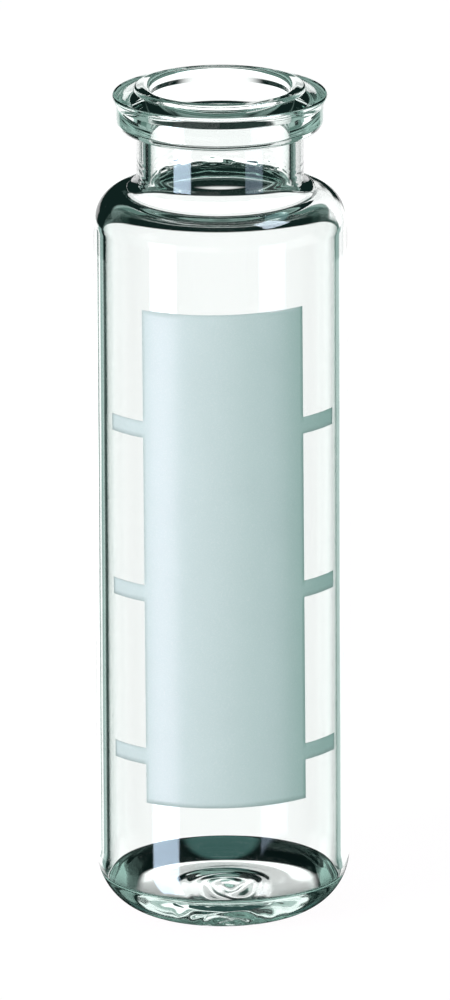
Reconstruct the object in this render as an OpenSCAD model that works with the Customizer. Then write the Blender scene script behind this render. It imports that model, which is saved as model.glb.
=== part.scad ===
// Crimp-top sample vial: one piece of clear tubing glass with a formed neck,
// shoulder and pushed-up base, and one print on the outside of the body.
// Millimetres. The vial stands on z = 0 with its axis on Z and the print
// facing -Y.

/* [Body] */
// Outside diameter of the tube
body_d = 22.5; // [21.5:0.1:24]
// Height over everything, base to lip
total_h = 75.5; // [70:0.5:85]
// Wall thickness of the tube
wall = 1.1; // [0.9:0.05:1.3]

/* [Base] */
// Outside radius of the round heel
heel_r = 5.2; // [4.8:0.1:5.6]
// Radius at which the hollow under the base would cut the ground
hollow_cut_r = 4.4; // [4:0.1:4.8]
// Height of the hollow under the middle of the base
push_up = 0.5; // [0.3:0.05:0.7]
// Radius that rounds the hollow into the ring the vial stands on
ring_edge_r = 2.8; // [2.2:0.1:3.2]
// Glass between the hollow and the floor, on the axis
base_t = 2.3; // [2:0.05:2.6]
// Rise of the dished floor, from the axis to the wall
floor_rise = 0.6; // [0.4:0.05:0.8]
// Radius of the corner between floor and wall
floor_corner_r = 0.25; // [0.2:0.05:0.4]

/* [Shoulder and neck] */
// Outside radius of the shoulder
shoulder_r = 3.3; // [3:0.1:3.6]
// How much lower the shoulder curves inside than outside
shoulder_drop = 0.35; // [0.2:0.05:0.5]
// Radius of the fillet between shoulder and neck, outside
neck_fillet_r = 1.1; // [0.9:0.05:1.4]
// Radius of the fillet between shoulder and neck, inside
neck_fillet_in_r = 2.9; // [2.5:0.1:3.3]
// Outside diameter of the neck
neck_d = 14.8; // [14.4:0.1:15.2]
// Diameter of the bore through the neck
bore_d = 12.3; // [11.9:0.05:12.7]

/* [Crimp finish] */
// Height of the finish, lip to underside of the flange
finish_h = 3.95; // [3.7:0.05:4.2]
// Length of the neck's straight outside, below the flange
neck_h = 4.05; // [3.7:0.05:4.4]
// Widest diameter, over the rim at the foot of the bevel
rim_d = 19; // [18.8:0.1:19.4]
// Radius of that rim
rim_r = 0.25; // [0.2:0.05:0.35]
// Drop from the lip to the middle of the rim
rim_drop = 0.9; // [0.8:0.05:1]
// Drop from the lip to the foot of the undercut below the rim
undercut_drop = 1.7; // [1.5:0.05:2]
// Diameter of the flange below the undercut
flange_d = 18.3; // [17.9:0.1:18.5]
// Radius of the flange's lower edge
flange_edge_r = 1; // [0.7:0.05:1.2]
// Radius of the fillet between flange and neck
flange_fillet_r = 0.3; // [0.2:0.05:0.4]
// Outside diameter of the raised lip
lip_d = 15.2; // [14.9:0.1:15.6]
// Height the lip stands above the bevel
lip_h = 0.35; // [0.2:0.05:0.5]
// Radius of the lip's outer edge
lip_outer_r = 0.25; // [0.1:0.05:0.3]
// Radius of the lip's inner edge, into the bore
lip_inner_r = 0.7; // [0.5:0.05:0.9]

/* [Print] */
// Thickness of the ink
ink_t = 0.05; // [0.03:0.01:0.1]
// Height of the panel
panel_h = 45.2; // [30:0.2:46]
// Width of the panel, measured round the glass
panel_w = 15.2; // [12:0.2:18]
// Height of the panel's lower edge above the base
panel_z = 12.3; // [10:0.1:13]
// Length of each volume line, measured round the glass
line_len = 4.05; // [2:0.05:6]
// Thickness of the volume lines
line_t = 1.5; // [0.8:0.1:2]
// Height of the middle of the lowest line above the base
line_z = 16.6; // [15:0.1:18]
// Spacing of the volume lines
line_pitch = 15; // [9:0.1:15.4]
// Turn of the print round the glass, from straight ahead
print_turn = 1.3; // [-10:0.1:10]
// Rise of the print's level edges from left to right, degrees
print_rise = 1; // [0:0.1:2]
// Lean of the print's upright edges to the left, degrees
print_lean = 0.2; // [0:0.1:1]

/* [Hidden] */
$fn = 96;

body_r = body_d / 2;
neck_r = neck_d / 2;
bore_r = bore_d / 2;
lip_r = lip_d / 2;
flange_r = flange_d / 2;
inside_r = body_r - wall;

// Arcs that touch overlap by this much, so that they join cleanly
hair = 0.0002;

// Heights, worked down from the lip
under_flange_z = total_h - finish_h;
neck_z = under_flange_z - neck_h;

// Height between the centres of two arcs that touch, from the distance
// between the centres and how much of it lies across
function arc_rise(across, reach) = sqrt(pow(reach, 2) - pow(across, 2));
// Where a straight line from p touches the circle c, r
function touch(p, c, r, side) =
    let (d = norm(p - c), u = (p - c) / d, a = side * acos(r / d))
        c + (r - hair) * [u[0] * cos(a) - u[1] * sin(a), u[0] * sin(a) + u[1] * cos(a)];

// Shoulder: its inside turns a little lower than its outside, and a neck
// fillet touches each
fillet_out = [neck_r + neck_fillet_r, neck_z];
shoulder_x = body_r - shoulder_r;
shoulder_z = neck_z - arc_rise(fillet_out[0] - shoulder_x, shoulder_r + neck_fillet_r);
shoulder = [shoulder_x, shoulder_z];
shoulder_in = [shoulder_x, shoulder_z - shoulder_drop];
shoulder_in_r = shoulder_r - wall;
fillet_in_x = bore_r + neck_fillet_in_r;
fillet_in = [
    fillet_in_x,
    shoulder_in[1] + arc_rise(fillet_in_x - shoulder_x, shoulder_in_r + neck_fillet_in_r)
];

// Radius of a ball's cap with this height over this half-width
function cap_r(h, half) = (pow(h, 2) + pow(half, 2)) / (2 * h);

// Base: the round heel, the ring it stands on and the ball's cap pushed up
// inside the ring
heel = [body_r - heel_r, heel_r];
hollow_r = cap_r(push_up, hollow_cut_r);
hollow_ball = [0, push_up - hollow_r];
ring_edge = [arc_rise(ring_edge_r - hollow_ball[1], hollow_r + ring_edge_r), ring_edge_r];
// The floor is a shallow dish, with a small corner up to the wall
floor_z = push_up + base_t;
floor_r = cap_r(floor_rise, inside_r);
floor_ball = [0, floor_z + floor_r];
corner_x = inside_r - floor_corner_r;
corner = [corner_x, floor_ball[1] - arc_rise(corner_x, floor_r - floor_corner_r)];
corner_way = (corner - floor_ball) / norm(corner - floor_ball);

// Finish: the rim, and the straight lines that run off it
rim = [rim_d / 2 - rim_r, total_h - rim_drop];
bevel_foot = [lip_r, total_h - lip_h];
bevel_touch = touch(bevel_foot, rim, rim_r, -1);
undercut = [flange_r, total_h - undercut_drop];
undercut_touch = touch(undercut, rim, rim_r, 1);
flange_edge = [flange_r - flange_edge_r, under_flange_z + flange_edge_r];
flange_fillet = [neck_r + flange_fillet_r, under_flange_z - flange_fillet_r];
lip_outer = [lip_r - lip_outer_r, total_h - lip_outer_r];
lip_inner = [bore_r + lip_inner_r, total_h - lip_inner_r];

module disc(c, r) {
    translate(c) circle(r = r);
}

module outer_profile() {
    difference() {
        union() {
            polygon([
                [0, 0],
                [heel[0], 0],
                heel,
                [body_r, heel[1]],
                [body_r, shoulder_z],
                shoulder,
                fillet_out,
                [neck_r, neck_z],
                [neck_r, flange_fillet[1]],
                flange_fillet,
                [flange_fillet[0], under_flange_z],
                [flange_edge[0], under_flange_z],
                flange_edge,
                [flange_r, flange_edge[1]],
                undercut,
                undercut_touch,
                rim,
                bevel_touch,
                bevel_foot,
                [lip_r, lip_outer[1]],
                lip_outer,
                [lip_outer[0], total_h],
                [0, total_h]
            ]);
            disc(heel, heel_r);
            disc(shoulder, shoulder_r);
            disc(flange_edge, flange_edge_r);
            disc(rim, rim_r);
            disc(lip_outer, lip_outer_r);
        }
        disc(fillet_out, neck_fillet_r + hair);
        disc(flange_fillet, flange_fillet_r);
        disc(hollow_ball, hollow_r);
        difference() {
            polygon([[0, -1], hollow_ball, ring_edge, [ring_edge[0], -1]]);
            disc(ring_edge, ring_edge_r + hair);
        }
    }
}

module inner_profile() {
    difference() {
        union() {
            polygon([
                [0, floor_z],
                corner,
                [inside_r, corner[1]],
                [inside_r, shoulder_in[1]],
                shoulder_in,
                fillet_in,
                [bore_r, fillet_in[1]],
                [bore_r, lip_inner[1]],
                lip_inner,
                [lip_inner[0], total_h + 1],
                [0, total_h + 1]
            ]);
            disc(corner, floor_corner_r + hair);
            disc(shoulder_in, shoulder_in_r);
            intersection() {
                disc(floor_ball, floor_r);
                polygon([
                    [0, floor_z],
                    corner,
                    corner + (floor_corner_r + 1) * corner_way,
                    [0, floor_z - 1]
                ]);
            }
        }
        disc(fillet_in, neck_fillet_in_r + hair);
        disc(lip_inner, lip_inner_r);
    }
}

// One side of the axis, on which the turned outline lies
module one_side() {
    translate([0, -1]) square([body_r + 1, total_h + 2]);
}

// The glass, turned in one piece
module glass_vial() {
    color([0.86, 0.95, 0.93, 0.35])
        rotate_extrude()
            intersection() {
                one_side();
                difference() {
                    outer_profile();
                    inner_profile();
                }
            }
}

// Half of a width measured round the glass, seen straight on
function seen(w) = body_r * sin(w / body_r * 90 / PI);
// A point of the print, put out of square as printed
function skewed(p) = [p[0] - p[1] * tan(print_lean), p[1] + p[0] * tan(print_rise)];

// Right-hand edge of the print, from the bottom up, about the panel's middle
panel_mid_z = panel_z + panel_h / 2;
panel_x = seen(panel_w);
line_x = seen(panel_w + 2 * line_len);
right_edge = [
    [panel_x, -panel_h / 2],
    for (i = [0 : 2])
        let (z = line_z + i * line_pitch - panel_mid_z)
            for (p = [[panel_x, -1], [line_x, -1], [line_x, 1], [panel_x, 1]])
                [p[0], z + p[1] * line_t / 2],
    [panel_x, panel_h / 2]
];
left_edge = [for (i = [len(right_edge) - 1 : -1 : 0]) [-right_edge[i][0], right_edge[i][1]]];

// The ink: the panel and its lines, wrapped on the outside of the glass
module vial_print() {
    color([0.82, 0.84, 0.86])
        rotate([0, 0, print_turn])
            intersection() {
                difference() {
                    cylinder(r = body_r + ink_t, h = total_h);
                    cylinder(r = body_r, h = total_h);
                }
                translate([0, 0, panel_mid_z])
                    rotate([90, 0, 0])
                        linear_extrude(height = body_r + 1)
                            polygon([for (p = concat(right_edge, left_edge)) skewed(p)]);
            }
}

glass_vial();
vial_print();
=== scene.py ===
"""Crimp-top sample vial: clear tubing glass with one grey print on the body.

The glass is one turned surface, drawn as a chain of lines and arcs and carried
round the axis; the print is one thin wrapped sheet. Both stand where the
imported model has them, in metres, on z = 0 with the print towards -Y.
"""

import math

import bpy
import numpy as np
from mathutils import Matrix, Vector


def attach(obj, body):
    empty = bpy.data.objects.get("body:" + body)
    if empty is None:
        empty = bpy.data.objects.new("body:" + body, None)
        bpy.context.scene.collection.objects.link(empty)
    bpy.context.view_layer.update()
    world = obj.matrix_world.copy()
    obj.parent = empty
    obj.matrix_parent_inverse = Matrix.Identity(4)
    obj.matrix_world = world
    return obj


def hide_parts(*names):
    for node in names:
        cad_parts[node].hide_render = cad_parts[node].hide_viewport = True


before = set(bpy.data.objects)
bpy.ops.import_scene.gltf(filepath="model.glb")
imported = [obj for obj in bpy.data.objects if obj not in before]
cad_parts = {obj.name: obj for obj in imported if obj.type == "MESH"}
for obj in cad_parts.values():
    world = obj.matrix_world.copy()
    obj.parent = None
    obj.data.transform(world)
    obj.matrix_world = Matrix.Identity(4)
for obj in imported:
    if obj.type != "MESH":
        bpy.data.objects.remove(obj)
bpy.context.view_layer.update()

MM = 0.001

# ---------------------------------------------------------------- sizes, mm

BODY_R = 11.25
TOTAL_H = 75.5
WALL = 1.1
HEEL_R = 5.2
HOLLOW_CUT_R = 4.4
PUSH_UP = 0.5
RING_EDGE_R = 2.8
BASE_T = 2.3
FLOOR_RISE = 0.6
FLOOR_CORNER_R = 0.25
SHOULDER_R = 3.3
SHOULDER_DROP = 0.35
NECK_FILLET_R = 1.1
NECK_FILLET_IN_R = 2.9
NECK_R = 7.4
BORE_R = 6.15
FINISH_H = 3.95
NECK_H = 4.05
RIM_MAX_R = 9.5
RIM_R = 0.25
RIM_DROP = 0.9
UNDERCUT_DROP = 1.7
FLANGE_R = 9.15
FLANGE_EDGE_R = 1.0
FLANGE_FILLET_R = 0.3
LIP_R = 7.6
LIP_H = 0.35
LIP_OUTER_R = 0.25
LIP_INNER_R = 0.7
CORNER_HOLD = 0.06
CORNER_TURN = 9
LONG_STRETCH = 3
GLASS_TURNS = 240

INK_T = 0.05
PANEL_H = 45.2
PANEL_W = 15.2
PANEL_Z = 12.3
LINE_LEN = 4.05
LINE_T = 1.5
LINE_Z = 16.6
LINE_PITCH = 15.0
PRINT_TURN = 1.3
PRINT_RISE = 1.0
PRINT_LEAN = 0.2
PRINT_CELL = 0.5

RIPPLE = 0.07
RIPPLE_WAVES = 12
RIPPLE_LOW = 63.8
RIPPLE_OUT = 2.8
RIPPLE_HIGH = 69.2
SWIRL = 0.032
SWIRL_PITCH = 1.5
SWIRL_FINE_PITCH = 0.93
SWIRL_REACH = 4.4
SWIRL_X = 0.5
SWIRL_Y = -2.2
SWIRL_HEART = 0.7

# Painted shadow on the floor, seen by the glass alone: a ring round the vial, a
# clear oval in it, a dim spot behind, a patch to the front right.
SHADE_MIDDLE = (2.5, 2.0)
SHADE_R = 17.0
GLADE_MIDDLE = (0.3, 1.6)
GLADE_R = (7.7, 5.4)
GLADE_FRONT = -1.3
GLADE_SOFT = 0.3
DIM_MIDDLE = (-0.1, 12.0)
DIM_R = (3.1, 4.8)
FRONT_SHADE_MIDDLE = (21.0, -18.5)
FRONT_SHADE_R = 14.0
FLOOR_DROP = 0.03

# Heights at which the painted glow and shade in the glass change.
FOOT_TOP = (9, 7)
SHOULDER_ZONE = (60, 66.4)
NECK_ZONE = (66.7, 70.8)
FINISH_FOOT = (69.6, 70.6)

# Patterns, in waves to the metre along x, y and z, what the glass loses, and
# how strong its painted glow and the neck's painted shade are.
SKIN_WAVES = (220, 220, 40)
PAINTED_GLOW_WAVES = (90, 90, 260)
INK_GRAIN = 9000.0
INK_CLOUD = 260.0
GLASS_DENSITY = 14.0
STREAK_GLOW = 1.7
NECK_PAINTED_SHADE = 0.35

# The camera: metres away, degrees up and round, mm sideways and down.
PIXELS_PER_MM = 11.26
IMAGE_TALL = 1000
SENSOR = 36
CAMERA_AWAY = 1.5
CAMERA_RISE = 15.61
CAMERA_ROLL = 0.271
CAMERA_RIGHT = 0.2966
CAMERA_DOWN = 0.2398

# The light for the print: metres, degrees, watts.
KEY_AWAY = 1.2
KEY_TURN = 45
KEY_RISE = 0.25
KEY_SIZE = (0.5, 0.9)
KEY_WATTS = 14.3
KEY_COLOUR = (1.0, 0.86, 0.95)

# How soft the edges of cards and windows are, degrees sideways and up.
CARD_SOFT = (2, 1.2)
PANE_SOFT = (1.5, 2)


# ------------------------------------------------------------ outline parts

def line(start, end, parts):
    """Points spread evenly along a straight line: start + t (end - start)."""
    t = np.linspace(0, 1, parts + 1)[:, None]
    return np.array(start) + t * (np.array(end) - np.array(start))


def arc(centre, radius, first, last, parts):
    """Points on a circle, centre + radius (cos a, sin a), a in degrees."""
    a = np.radians(np.linspace(first, last, parts + 1))
    return np.array(centre) + radius * np.stack([np.cos(a), np.sin(a)], 1)


def bearing(centre, point):
    """Direction from centre to point, in degrees."""
    return math.degrees(math.atan2(point[1] - centre[1], point[0] - centre[0]))


def tangent_point(point, centre, radius, side):
    """Where a straight line from point touches a circle, left or right."""
    away = np.array(point) - np.array(centre)
    reach = np.hypot(*away)
    turn = side * math.acos(radius / reach)
    u = away / reach
    c, s = math.cos(turn), math.sin(turn)
    return np.array(centre) + radius * np.array(
        [u[0] * c - u[1] * s, u[0] * s + u[1] * c])


def arc_rise(across, reach):
    """Height between two centres that lie reach apart, and across sideways."""
    return math.sqrt(reach ** 2 - across ** 2)


def cap_radius(height, half):
    """Radius of the ball whose cap has this height over this half-width."""
    return (height ** 2 + half ** 2) / (2 * height)


def base_outside():
    """From the axis under the base to the foot of the straight wall."""
    heel = (BODY_R - HEEL_R, HEEL_R)
    hollow_r = cap_radius(PUSH_UP, HOLLOW_CUT_R)
    hollow = (0, PUSH_UP - hollow_r)
    ring = (arc_rise(RING_EDGE_R - hollow[1], hollow_r + RING_EDGE_R),
            RING_EDGE_R)
    leave = bearing(hollow, ring)
    return [
        arc(hollow, hollow_r, 90, leave, 14),
        arc(ring, RING_EDGE_R, leave + 180, 270, 8),
        line((ring[0], 0), (heel[0], 0), 2),
        arc(heel, HEEL_R, -90, 0, 30),
    ]


def shoulder_and_neck():
    """The outside from the wall to the underside of the flange, and the
    inside from the bore to the wall."""
    neck_z = TOTAL_H - FINISH_H - NECK_H
    fillet = (NECK_R + NECK_FILLET_R, neck_z)
    x = BODY_R - SHOULDER_R
    shoulder = (x, neck_z - arc_rise(fillet[0] - x, SHOULDER_R + NECK_FILLET_R))
    turn = bearing(shoulder, fillet)
    outside = [
        line((BODY_R, HEEL_R), (BODY_R, shoulder[1]), 4),
        arc(shoulder, SHOULDER_R, 0, turn, 26),
        arc(fillet, NECK_FILLET_R, turn + 180, 180, 14),
    ]
    low = (x, shoulder[1] - SHOULDER_DROP)
    low_r = SHOULDER_R - WALL
    fillet_x = BORE_R + NECK_FILLET_IN_R
    rise = arc_rise(fillet_x - x, low_r + NECK_FILLET_IN_R)
    fillet = (fillet_x, low[1] + rise)
    turn = bearing(low, fillet)
    inside = [
        line((BORE_R, TOTAL_H - LIP_INNER_R), (BORE_R, fillet[1] + 1.2), 4),
        line((BORE_R, fillet[1] + 1.2), (BORE_R, fillet[1]), 16),
        arc(fillet, NECK_FILLET_IN_R, 180, turn + 180, 40),
        arc(low, low_r, turn, 0, 26),
    ]
    return outside, inside


def crimp_finish():
    """From the foot of the neck, round the flange, undercut, rim and bevel,
    over the raised lip and into the bore."""
    under = TOTAL_H - FINISH_H
    rim = (RIM_MAX_R - RIM_R, TOTAL_H - RIM_DROP)
    bevel_foot = (LIP_R, TOTAL_H - LIP_H)
    bevel_touch = tangent_point(bevel_foot, rim, RIM_R, -1)
    undercut = (FLANGE_R, TOTAL_H - UNDERCUT_DROP)
    undercut_touch = tangent_point(undercut, rim, RIM_R, 1)
    edge = (FLANGE_R - FLANGE_EDGE_R, under + FLANGE_EDGE_R)
    fillet = (NECK_R + FLANGE_FILLET_R, under - FLANGE_FILLET_R)
    lip_out = (LIP_R - LIP_OUTER_R, TOTAL_H - LIP_OUTER_R)
    lip_in = (BORE_R + LIP_INNER_R, TOTAL_H - LIP_INNER_R)
    return [
        line((NECK_R, under - NECK_H), (NECK_R, fillet[1]), 6),
        arc(fillet, FLANGE_FILLET_R, 180, 90, 6),
        line((fillet[0], under), (edge[0], under), 2),
        arc(edge, FLANGE_EDGE_R, -90, 0, 14),
        line((FLANGE_R, edge[1]), undercut, 3),
        line(undercut, undercut_touch, 3),
        arc(rim, RIM_R, bearing(rim, undercut_touch),
            bearing(rim, bevel_touch), 10),
        line(bevel_touch, bevel_foot, 5),
        line(bevel_foot, (LIP_R, lip_out[1]), 2),
        arc(lip_out, LIP_OUTER_R, 0, 90, 7),
        line((lip_out[0], TOTAL_H), (lip_in[0], TOTAL_H), 3),
        arc(lip_in, LIP_INNER_R, 90, 180, 12),
    ]


def base_inside(wall_top):
    """Down the straight wall, round the corner and over the dished floor."""
    inside_r = BODY_R - WALL
    floor_z = PUSH_UP + BASE_T
    floor_r = cap_radius(FLOOR_RISE, inside_r)
    ball = (0, floor_z + floor_r)
    corner_x = inside_r - FLOOR_CORNER_R
    corner = (corner_x, ball[1] - arc_rise(corner_x, floor_r - FLOOR_CORNER_R))
    meet = bearing(ball, corner)
    return [
        line((inside_r, wall_top), (inside_r, corner[1]), 4),
        arc(corner, FLOOR_CORNER_R, 0, meet, 8),
        arc(ball, floor_r, meet, -90, 76),
    ]


def glass_outline():
    """The turned outline in mm, from the axis under the base, up the outside,
    over the lip and down the inside to the axis on the floor."""
    outside, inside = shoulder_and_neck()
    chain = np.concatenate(base_outside() + outside + crimp_finish() + inside
                           + base_inside(inside[-1][-1, 1]))
    step = np.hypot(*(chain[1:] - chain[:-1]).T)
    chain = chain[np.concatenate([[True], step > 1e-4])]
    chain[[0, -1], 0] = 0
    return held(chain)


def held(chain):
    """Adds a point close beside every corner and every start of a curve where
    the next stretch is long, so that smooth shading doesn't spread from it."""
    way = np.diff(chain, axis=0)
    length = np.hypot(*way.T)
    way = way / length[:, None]
    kept = [chain[0]]
    for i in range(1, len(chain) - 1):
        before, after = length[i - 1], length[i]
        reach = min(before, after)
        if way[i - 1] @ way[i] < math.cos(math.radians(CORNER_TURN)):
            reach = min(reach, CORNER_HOLD)
        if before > LONG_STRETCH * reach:
            kept.append(chain[i] - way[i - 1] * reach)
        kept.append(chain[i])
        if after > LONG_STRETCH * reach:
            kept.append(chain[i] + way[i] * reach)
    return np.array(kept + [chain[-1]])


# ------------------------------------------------------------ mesh making

def new_piece(name, points, faces):
    """A smooth-shaded mesh object at the origin, its place in its mesh."""
    mesh = bpy.data.meshes.new(name)
    mesh.from_pydata(points.tolist(), [], faces)
    mesh.polygons.foreach_set("use_smooth", np.ones(len(mesh.polygons), bool))
    mesh.update()
    piece = bpy.data.objects.new(name, mesh)
    bpy.context.scene.collection.objects.link(piece)
    return piece


def ease(x):
    """0 below 0, 1 above 1, eased between: 3 x^2 - 2 x^3."""
    x = np.clip(x, 0, 1)
    return x * x * (3 - 2 * x)


def flame_ripples(r, z, a):
    """How far the bore's wall stands in at the foot of the neck, where the
    flame drew it: twelve waves, sin(m a + k z + phase), each a few thousandths
    of a millimetre, faded out above, below and towards the front."""
    draw = np.random.default_rng(11)
    rise = np.zeros_like(z)
    for _ in range(RIPPLE_WAVES):
        m = draw.integers(3, 17)
        k = draw.uniform(7, 17) * draw.choice([-1, 1])
        phase = draw.uniform(0, 6.28)
        rise += np.sin(m * a + k * z + phase) * RIPPLE / (5 + abs(k))
    fade = (ease((z - RIPPLE_LOW) / 0.5) * ease((RIPPLE_HIGH - z) / 0.8)
            * ease((BORE_R + RIPPLE_OUT - r) / 0.8))
    return rise * fade * ease(0.6 - np.cos(a))


def floor_swirl(x, y, z):
    """How far the floor stands up round the spot where the tube was closed:
    rings cos(2 pi d / pitch + turn), and finer ones that turn the other way,
    both dying away with distance d."""
    d = np.hypot(x - SWIRL_X, y - SWIRL_Y)
    turn = np.arctan2(y - SWIRL_Y, x - SWIRL_X)
    rings = np.cos(2 * math.pi * d / SWIRL_PITCH + turn)
    rings += 0.6 * np.sin(2 * math.pi * d / SWIRL_FINE_PITCH - 2 * turn + 1)
    near = ease(1.3 - d / SWIRL_REACH) * ease(d / SWIRL_HEART)
    up = z - PUSH_UP - BASE_T
    return SWIRL * rings * near * ((up > -0.3) & (up < FLOOR_RISE))


def turned(outline, turns):
    """Points (r sin a, -r cos a, z) for every outline point and every angle a,
    with one point at each end on the axis, and the faces between them. The
    flame's ripples move r and the swirl moves z, inside the vial only."""
    a = np.linspace(0, 2 * math.pi, turns, endpoint=False)[None, :]
    r, z = (c[:, None] + 0 * a for c in outline[1:-1].T)
    inside = np.arange(len(r))[:, None] > np.argmax(outline[1:-1, 1])
    r = r - flame_ripples(r, z, a) * inside
    x, y = r * np.sin(a), -r * np.cos(a)
    z = z + floor_swirl(x, y, z) * inside
    points = np.concatenate([
        np.stack([x, y, z], 2).reshape(-1, 3),
        [[0, 0, outline[0, 1]],
         [0, 0, outline[-1, 1] + floor_swirl(0.0, 0.0, outline[-1, 1])]]])
    count = len(r)
    i = np.arange(count - 1)[:, None] * turns
    j = np.arange(turns)
    k = (j + 1) % turns
    quads = np.stack([i + j, i + k, i + turns + k, i + turns + j], 2)
    under, floor = count * turns, count * turns + 1
    last = (count - 1) * turns
    pairs = list(zip(j.tolist(), k.tolist()))
    caps = ([[under, after, here] for here, after in pairs]
            + [[floor, last + here, last + after] for here, after in pairs])
    return points * MM, quads.reshape(-1, 4).tolist() + caps


def print_rows():
    """Heights of the grid's rows about the panel's middle, and whether each
    band between two rows lies in a volume line."""
    middle = PANEL_Z + PANEL_H / 2
    marks = [LINE_Z + i * LINE_PITCH - middle for i in range(3)]
    stops = [-PANEL_H / 2]
    for mark in marks:
        stops += [mark - LINE_T / 2, mark + LINE_T / 2]
    stops.append(PANEL_H / 2)
    rows, in_line = [stops[0]], []
    for n, (low, high) in enumerate(zip(stops[:-1], stops[1:])):
        parts = max(3, int(round((high - low) / PRINT_CELL)))
        rows += list(np.linspace(low, high, parts + 1)[1:])
        in_line += [n % 2 == 1] * parts
    return np.array(rows), np.array(in_line)


def print_columns():
    """Places of the grid's columns, measured round the glass, and whether each
    band between two columns lies in the panel."""
    half = PANEL_W / 2
    columns = np.concatenate([
        np.linspace(-half - LINE_LEN, -half, 13),
        np.linspace(-half, half, 45)[1:],
        np.linspace(half, half + LINE_LEN, 13)[1:]])
    return columns, np.abs((columns[1:] + columns[:-1]) / 2) < half


def sheet_faces(inked):
    """Faces of two skins over one grid of cells, the outer skin's points first,
    with a wall along every edge between an inked cell and a bare one."""
    rows, columns = inked.shape
    index = np.arange((rows + 1) * (columns + 1)).reshape(rows + 1, columns + 1)
    lift = index.size
    r, c = np.nonzero(inked)
    outer = np.stack([index[r, c], index[r, c + 1],
                      index[r + 1, c + 1], index[r + 1, c]], 1)
    inner = outer[:, ::-1] + lift
    padded = np.pad(inked, 1)
    walls = []
    for up, along, first, second in (
            (-1, 0, (0, 0), (0, 1)), (1, 0, (1, 1), (1, 0)),
            (0, -1, (1, 0), (0, 0)), (0, 1, (0, 1), (1, 1))):
        beside = padded[1 + up:1 + up + rows, 1 + along:1 + along + columns]
        r, c = np.nonzero(inked & ~beside)
        start = index[r + first[0], c + first[1]]
        end = index[r + second[0], c + second[1]]
        walls.append(np.stack([end, start, start + lift, end + lift], 1))
    return np.concatenate([outer, inner] + walls)


def print_sheet():
    """The ink: columns and rows wrapped on the glass, a little out of square.
    A cell is inked where it lies in the panel or in a volume line, and the
    outer skin is the inner one moved out by the ink's thickness."""
    rows, in_line = print_rows()
    columns, in_panel = print_columns()
    faces = sheet_faces(in_panel[None, :] | in_line[:, None])
    flat = BODY_R * np.sin(columns / BODY_R)
    x = flat[None, :] - rows[:, None] * math.tan(math.radians(PRINT_LEAN))
    z = rows[:, None] + flat[None, :] * math.tan(math.radians(PRINT_RISE))
    z = z + (PANEL_Z + PANEL_H / 2)
    turn = np.arcsin(x / BODY_R) + math.radians(PRINT_TURN)
    points = np.concatenate([
        np.stack([r * np.sin(turn), -r * np.cos(turn), z], 2).reshape(-1, 3)
        for r in (BODY_R + INK_T, BODY_R)])
    used, faces = np.unique(faces, return_inverse=True)
    return points[used] * MM, faces.reshape(-1, 4).tolist()


# ------------------------------------------------------------ colours

BLACK = (0.002, 0.005, 0.005)
DARK = (0.006, 0.016, 0.014)
FAINT_TEAL = (0.035, 0.08, 0.075)
DIM_TEAL = (0.06, 0.14, 0.13)
DEEP_TEAL = (0.06, 0.11, 0.10)
TEAL = (0.13, 0.23, 0.20)
PALE_TEAL = (0.34, 0.48, 0.44)
EDGE_TEAL = (0.40, 0.57, 0.53)
WHITE = (1.16, 1.16, 1.16)
LIGHT = (1.3, 1.3, 1.3)
BRIGHT = (1.5, 1.5, 1.5)
BRIGHTER = (1.9, 1.9, 1.9)
SKY = (9.6, 12.2, 15.0)
DULL_SKY = (2.1, 2.7, 3.4)
LAMP = (12.0, 14.0, 16.0)
DULL_LAMP = (1.6, 3.0, 3.0)
SOFT_LIGHT = (0.40, 0.63, 0.56)
CLEAR = (0.985, 0.995, 0.99)
THROUGH_GLASS = (0.2, 0.62, 0.5)
INK = (0.52, 0.58, 0.59)
PALE_INK = (0.60, 0.66, 0.67)
INK_SHEEN = (1.0, 0.26, 0.26)
PALE_FLOOR = (0.85, 0.85, 0.85)
FLOOR_WHITE = (1.06, 1.04, 1.05)


# ------------------------------------------------------------ shader maths

class Value:
    """A shader socket that can be reckoned with; each operator is one node."""

    def __init__(self, tree, socket):
        self.tree = tree
        self.socket = socket

    def maths(self, operation, *others):
        return self.tree.node("Math", {"operation": operation},
                              [self, *others])[0]

    def __add__(self, other):
        return self.maths("ADD", other)

    __radd__ = __add__

    def __mul__(self, other):
        return self.maths("MULTIPLY", other)

    __rmul__ = __mul__

    def __sub__(self, other):
        return self.maths("SUBTRACT", other)

    def __rsub__(self, other):
        return self.tree.node("Math", {"operation": "SUBTRACT"},
                              [other, self])[0]

    def smooth(self, low, high):
        """0 below low, 1 above high, eased between; low may exceed high."""
        node = self.tree.node("MapRange", {
            "interpolation_type": "SMOOTHSTEP", "clamp": True},
            {"Value": self, "From Min": low, "From Max": high})
        return node[0]

    def between(self, low, high, soft):
        """1 from low to high, falling to 0 within soft on either side."""
        return (self.smooth(low - soft, low + soft)
                * self.smooth(high + soft, high - soft))


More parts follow.
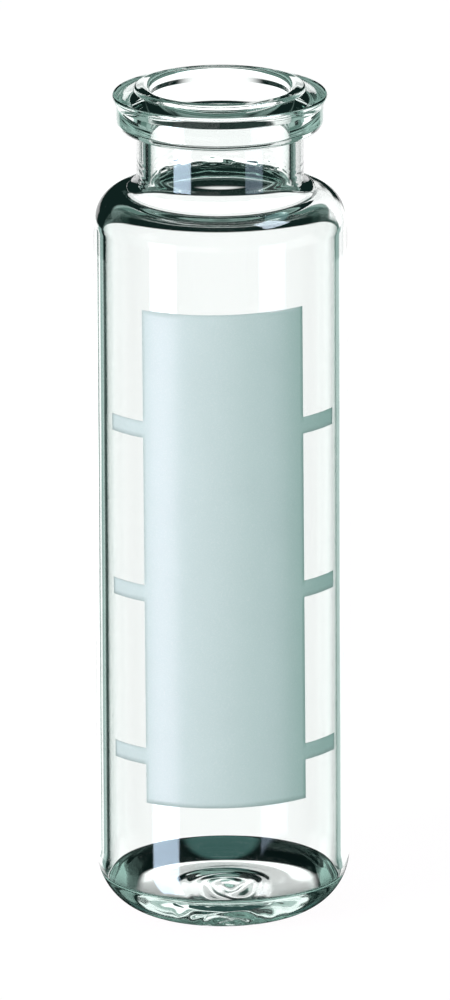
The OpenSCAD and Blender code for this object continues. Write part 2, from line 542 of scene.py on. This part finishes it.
class Tree:
    """Adds nodes to one node tree."""

    def __init__(self, tree):
        self.nodes = tree.nodes
        self.links = tree.links
        self.nodes.clear()

    def node(self, kind, settings=None, sockets=None):
        """A shader node of a kind, its settings made first, then its sockets
        fed by name or number with values or links. Returns its outputs."""
        made = self.nodes.new("ShaderNode" + kind)
        for key, value in (settings or {}).items():
            setattr(made, key, value)
        pairs = (sockets.items() if isinstance(sockets, dict)
                 else enumerate(sockets or []))
        for key, value in pairs:
            if isinstance(value, Value):
                self.links.new(value.socket, made.inputs[key])
            elif isinstance(value, tuple) and len(value) == 3 and (
                    made.inputs[key].type == "RGBA"):
                made.inputs[key].default_value = (*value, 1)
            else:
                made.inputs[key].default_value = value
        return [Value(self, s) for s in made.outputs]

    def place(self):
        """Where on the object, in metres."""
        return self.node("TexCoord")[3]

    def round_spot(self, middle, reach, soft):
        """1 inside an oval on the floor, its middle and reach in mm."""
        moved = self.node("Mapping", {"vector_type": "TEXTURE"}, {
            0: self.place(), 1: (middle[0] * MM, middle[1] * MM, 0),
            3: (reach[0] * MM, reach[1] * MM, 1)})[0]
        out = self.node("VectorMath", {"operation": "LENGTH"}, [moved])[1]
        return out.smooth(1 + soft, 1 - soft)

    def light_path(self):
        """How a ray came, by the names of the node's own outputs."""
        outputs = self.node("LightPath")
        return {output.socket.name: output for output in outputs}

    def mix(self, amount, first, second):
        """A colour part way from first to second."""
        return self.node("Mix", {"data_type": "RGBA"}, {
            0: amount, 6: first, 7: second})[2]

    def glow(self, colour, strength=1.0):
        """A shader that gives off light."""
        return self.node("Emission", None, {0: colour, 1: strength})[0]

    def blend(self, amount, first, second):
        """A shader part way from first to second."""
        return self.node("MixShader", None, {0: amount, 1: first, 2: second})[0]


def material(name):
    made = bpy.data.materials.new(name)
    made.use_nodes = True
    return made, Tree(made.node_tree)


# ------------------------------------------------------------ materials

def clear_glass():
    """Clear soda-lime glass: faint green through its thickness, and the slow
    waves of flame-worked tubing in its skin. Where light has turned round
    inside the wall four times, the glass gives off painted glow instead,
    streaked pale teal over near-black; on the shoulder this comes after two
    turns and is a painted near-black. Where light has turned in the neck's
    wall and leaves it without crossing the bore, a third of it is swapped
    for painted shade."""
    made, tree = material("clear_glass")
    place = tree.place()
    stretched = tree.node("Mapping", None, {0: place, 3: SKIN_WAVES})[0]
    waves = tree.node("TexNoise", None, {
        "Vector": stretched, "Scale": 1.0, "Detail": 2.0})[0]
    bump = tree.node("Bump", None, {
        "Strength": 0.02, "Distance": 0.0004, "Height": waves})[0]
    glass = tree.node("BsdfPrincipled", None, {
        "Base Color": CLEAR, "Roughness": 0.0, "IOR": 1.5,
        "Transmission Weight": 1.0, "Normal": bump})[0]
    path = tree.light_path()
    turns = path["Glossy Depth"]
    flat = tree.node("Mapping", None, {0: place, 3: PAINTED_GLOW_WAVES})[0]
    streak = tree.node("TexNoise", None, {
        "Vector": flat, "Scale": 1.0, "Detail": 3.0, "Distortion": 0.6})[0]
    height = tree.node("SeparateXYZ", None, [place])[2] * (1 / MM)
    shoulder = height.between(*SHOULDER_ZONE, 0.2)
    finish = height.smooth(*FINISH_FOOT)
    foot = height.smooth(*FOOT_TOP)
    # How pale the painted glow is: streaked, steadier and paler at the finish,
    # sharper-edged near the foot, and none on the shoulder.
    pale = streak.smooth(0.42, 0.58) * (1 - finish * 0.6) + finish * 0.45
    pale = pale * (1 - foot) + streak.smooth(0.50, 0.55) * foot
    pale = pale * (1 - shoulder)
    # The painted glow's near-black and its pale teal; the near-black is also
    # the neck's painted shade.
    dark = tree.glow(DARK)
    painted_glow_streaks = tree.blend(pale, dark, tree.glow(PALE_TEAL, STREAK_GLOW))
    # Painted shade on the neck, where light has turned in the wall and leaves
    # it without crossing the bore.
    neck = (height.between(*NECK_ZONE, 0.3) * turns.maths("MINIMUM", 1)
            * path["Transmission Depth"].smooth(2, 1))
    # Where the glass gives way to painted glow: four turns in the wall, or two
    # on the shoulder.
    painted_glow_mask = turns.smooth(3, 4).maths("MAXIMUM", turns.smooth(1, 2) * shoulder)
    glass = tree.blend(neck * NECK_PAINTED_SHADE, glass, dark)
    glass = tree.blend(painted_glow_mask, glass, painted_glow_streaks)
    depth = tree.node("VolumeAbsorption", None, {
        "Color": THROUGH_GLASS, "Density": GLASS_DENSITY})[0]
    tree.node("OutputMaterial", None, {0: glass, 1: depth})
    return made


def printed_ink():
    """Fired-on pale grey ink: satin, with the fine grain of its pigment."""
    made, tree = material("printed_ink")
    place = tree.place()
    grain = tree.node("TexNoise", None, {
        "Vector": place, "Scale": INK_GRAIN, "Detail": 1.0})[0]
    cloud = tree.node("TexNoise", None, {
        "Vector": place, "Scale": INK_CLOUD, "Detail": 2.0})[0]
    tone = grain * 0.6 + cloud * 0.4
    colour = tree.mix(tone, INK, PALE_INK)
    bump = tree.node("Bump", None, {
        "Strength": 0.25, "Distance": 0.00002, "Height": grain})[0]
    ink = tree.node("BsdfPrincipled", None, {
        "Base Color": colour, "Roughness": grain * 0.12 + 0.2,
        "Specular IOR Level": 0.28, "Specular Tint": INK_SHEEN,
        "Normal": bump})[0]
    tree.node("OutputMaterial", None, {0: ink})
    return made


# ------------------------------------------------------------ pieces

vial = new_piece("vial_glass", *turned(glass_outline(), GLASS_TURNS))
vial.data.materials.append(clear_glass())
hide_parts("glass_vial")
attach(vial, "root")

sheet = new_piece("vial_panel", *print_sheet())
sheet.data.materials.append(printed_ink())
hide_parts("vial_print")
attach(sheet, "root")


# ------------------------------------------------------------ light and dark

ONCE_CARDS = [
    (None, None, -43, -2, BRIGHT),
    (-9, 9, -20, -2, WHITE),
    (-5, 5, -20, 1.5, WHITE),
    (None, None, 12, 21, FAINT_TEAL),
    (None, None, -62, -43, TEAL),
    (None, None, -99, -62, WHITE),
    (None, None, 21, 99, WHITE),
]
THROUGH_CARDS = [
    (None, None, -43, -3.2, BRIGHTER),
    (None, None, -20, -3.2, BRIGHT),
    (-12, 12, -20, -3.2, LIGHT),
    (-8, 8, -20, -3.2, WHITE),
    (-6, 6, -4.8, 0, DARK),
    (None, None, -99, -43, WHITE),
    (14, 72, 3, 26, WHITE),
    (-68, -34, 3, 26, WHITE),
    (None, None, 21, 99, WHITE),
]
INSIDE_CARDS = [
    (None, None, -99, -24, TEAL),
    (-75, -46, -22, 0.5, TEAL),
    (56, 75, -22, 0.5, PALE_TEAL),
    (-36, 48, -24, 0.5, TEAL),
    (-36, 41, -24, 0.5, EDGE_TEAL),
    (-27.5, 33, -24, 0.5, BRIGHT),
    (-22.5, -17.5, -17, -11, TEAL),
    (-22, 36, -99, -24, PALE_TEAL),
    (-6, 22, -99, -24, WHITE),
    (-110, -60, -12, 0.5, PALE_TEAL),
    (-77, -50, -40, -26, DARK),
    (75, 135, -34, -20, WHITE),
    (75, 135, -12, 0.5, WHITE),
    (62, 92, -42, -34, DARK),
    (-60, -40, 0.5, 22, PALE_TEAL),
    (12, 37, 0.5, 12.5, BRIGHT),
    (6, 37, 11.2, 14.5, BRIGHT),
    (1, 37, 13.5, 22, BRIGHT),
    (37, 77, 0.5, 22, TEAL),
    (77, 110, 0.5, 22, WHITE),
    (-110, -60, 0.5, 22, PALE_TEAL),
    (110, 180, 0.5, 22, PALE_TEAL),
    (-180, -110, 0.5, 22, WHITE),
    (-75, 75, 22, 31, PALE_TEAL),
    (-75, 75, 31, 37, TEAL),
    (-22, 22, 25, 31, TEAL),
    (-9, 9, 22.7, 31, WHITE),
    (-110, -90, 22, 38, WHITE),
    (-35, 35, 62, 99, WHITE),
]
HOLLOW_CARDS = [
    (-36, 36, -46, 0.5, PALE_TEAL),
    (-30, -12, -46, 0.5, BRIGHT),
    (14, 34, -46, 0.5, BRIGHT),
    (None, None, -99, -46, TEAL),
    (None, None, 40, 99, BRIGHT),
    (-33, 31, 40, 61, DARK),
    (42, 62, 50, 72, DEEP_TEAL),
    (-78, -60, 30, 46, DARK),
    (74, 112, 30, 46, DARK),
    (62, 92, 20, 36, PALE_TEAL),
]
MIRROR_CARDS = [
    (-30, 30, -43, -2, PALE_TEAL),
]
OUTER_CARDS = [
    (-30, 30, -43, 0.5, WHITE),
    (40, 88, 54, 67, DULL_LAMP),
    (90, 126, 46, 64.5, LAMP),
]
WINDOWS = [
    (-139, -113, -40, 0, SKY),
    (119, 145, -40, 0, DULL_SKY),
]


# ------------------------------------------------------------ floor

def pale_floor():
    """White to the camera but for a trace of shadow, matt to soft light. The
    glass looks through it to the studio, but for painted shadow that glows
    dark in a ring round it and a patch to the front right."""
    made, tree = material("pale_floor")
    path = tree.light_path()
    matt = tree.node("BsdfDiffuse", None, {0: PALE_FLOOR})[0]
    pale = tree.blend(0.92, matt, tree.glow(FLOOR_WHITE))
    seen = tree.blend(path["Is Camera Ray"], matt, pale)
    back = tree.node("SeparateXYZ", None, [tree.place()])[1] * (1 / MM)
    glade = (tree.round_spot(GLADE_MIDDLE, GLADE_R, 0.04)
             * back.smooth(GLADE_FRONT - GLADE_SOFT, GLADE_FRONT + GLADE_SOFT))
    # Painted shadow: a ring round the vial, less a clear oval cut off at its
    # front, and a patch to the front right.
    shade = (tree.round_spot(SHADE_MIDDLE, (SHADE_R, SHADE_R), 0.04)
             * (1 - glade)
             + tree.round_spot(FRONT_SHADE_MIDDLE, (FRONT_SHADE_R, FRONT_SHADE_R), 0.1))
    # The painted shadow glows near-black, and dim teal in a spot behind the
    # vial.
    painted_shade_glow = tree.blend(tree.round_spot(DIM_MIDDLE, DIM_R, 0.15),
                      tree.glow(BLACK), tree.glow(DIM_TEAL))
    below = tree.blend(shade, tree.node("BsdfTransparent")[0], painted_shade_glow)
    glass = path["Is Glossy Ray"].maths("MAXIMUM", path["Is Transmission Ray"])
    tree.node("OutputMaterial", None, {0: tree.blend(glass, seen, below)})
    return made


def floor_square():
    """The corners of a 4 m square just below the vial, so that the ring it
    stands on doesn't lie in the same plane."""
    low = -FLOOR_DROP * MM
    return np.array([[-2, -2, low], [2, -2, low], [2, 2, low], [-2, 2, low]])


floor = new_piece("floor", floor_square(), [[0, 1, 2, 3]])
floor.data.materials.append(pale_floor())


# ------------------------------------------------------------ studio

def cards(tree, side, rise, hung):
    """The light of one set of cards hung round a dark room, each over those
    before it: from and to sideways, from and to upwards, in degrees, and its
    glow. Sideways is 0 straight behind the vial, and None runs all the way
    round."""
    colour = DARK
    for left, right, low, high, glow in hung:
        amount = rise.between(low, high, CARD_SOFT[1])
        if left is not None:
            amount = amount * side.between(left, right, CARD_SOFT[0])
        colour = tree.mix(amount, colour, glow)
    return colour


def studio():
    """White to the camera and a plain grey-green to soft light. Glass sees
    cards, one set for each way light can take: straight through one wall or
    both, off the outer skin, by reflections inside a wall, off the far side
    of the hollow once, or more often. Only the outer skin and the ink's sheen
    see the windows."""
    world = bpy.data.worlds.new("studio")
    world.use_nodes = True
    bpy.context.scene.world = world
    tree = Tree(world.node_tree)
    path = tree.light_path()
    way = tree.node("TexCoord")[0]
    x, y, z = tree.node("SeparateXYZ", None, [way])
    side = x.maths("ARCTAN2", y) * (180 / math.pi)
    rise = z.maths("ARCSINE") * (180 / math.pi)
    went_in = path["Transmission Depth"].maths("MINIMUM", 1)
    went_across = path["Transmission Depth"].smooth(2, 3)
    went_back = path["Glossy Depth"].maths("MINIMUM", 1)
    back_again = path["Glossy Depth"].smooth(1, 2)
    once, through, outer, inside, mirror, hollow = (
        cards(tree, side, rise, hung) for hung in (
            ONCE_CARDS, THROUGH_CARDS, OUTER_CARDS, INSIDE_CARDS, MIRROR_CARDS,
            HOLLOW_CARDS))
    straight = tree.mix(went_across, once, through)
    across = tree.mix(back_again, mirror, hollow)
    bent = tree.mix(went_in, outer, tree.mix(went_across, inside, across))
    colour = tree.mix(went_back, straight, bent)
    for left, right, low, high, glow in WINDOWS:
        pane = (side.between(left, right, PANE_SOFT[0])
                * rise.between(low, high, PANE_SOFT[1]))
        colour = tree.mix(pane * (1 - went_in), colour, glow)
    glass = path["Is Glossy Ray"].maths("MAXIMUM", path["Is Transmission Ray"])
    colour = tree.mix(glass, SOFT_LIGHT, colour)
    colour = tree.mix(path["Is Camera Ray"], colour, (1, 1, 1))
    back = tree.node("Background", None, {0: colour, 1: 1.0})[0]
    tree.node("OutputWorld", None, {0: back})


studio()


def key_light():
    """A tall soft panel ahead and to the left, for the print alone."""
    data = bpy.data.lights.new("key", "AREA")
    data.shape = "RECTANGLE"
    data.size, data.size_y = KEY_SIZE
    data.energy = KEY_WATTS
    data.color = KEY_COLOUR
    lamp = bpy.data.objects.new("key", data)
    bpy.context.scene.collection.objects.link(lamp)
    turn = math.radians(KEY_TURN)
    place = Vector((-math.sin(turn), -math.cos(turn), KEY_RISE)) * KEY_AWAY
    lamp.matrix_world = Matrix.Translation(place) @ (
        -place).to_track_quat("-Z", "Y").to_matrix().to_4x4()
    lamp.visible_camera = False
    lamp.visible_glossy = False
    lamp.visible_transmission = False


key_light()


# ------------------------------------------------------------ camera

def camera():
    """A long lens a little above, turned a hair on its own axis and moved
    sideways and down so that the vial stands where it should."""
    rise, roll = math.radians(CAMERA_RISE), math.radians(CAMERA_ROLL)
    tall = IMAGE_TALL / PIXELS_PER_MM * MM
    data = bpy.data.cameras.new("camera")
    data.sensor_width = SENSOR
    data.lens = SENSOR * CAMERA_AWAY / tall
    data.clip_end = 20
    view = bpy.data.objects.new("camera", data)
    bpy.context.scene.collection.objects.link(view)
    forward = Vector((0, math.cos(rise), -math.sin(rise)))
    right = Vector((1, 0, 0))
    up = Vector((0, math.sin(rise), math.cos(rise)))
    across = right * math.cos(roll) - up * math.sin(roll)
    upward = up * math.cos(roll) + right * math.sin(roll)
    place = (Vector((0, 0, TOTAL_H / 2 * MM)) - forward * CAMERA_AWAY
             + across * CAMERA_RIGHT * MM - upward * CAMERA_DOWN * MM)
    turn = Matrix((across, upward, -forward)).transposed()
    view.matrix_world = Matrix.Translation(place) @ turn.to_4x4()
    bpy.context.scene.camera = view


camera()
bpy.context.scene.view_settings.view_transform = "Standard"
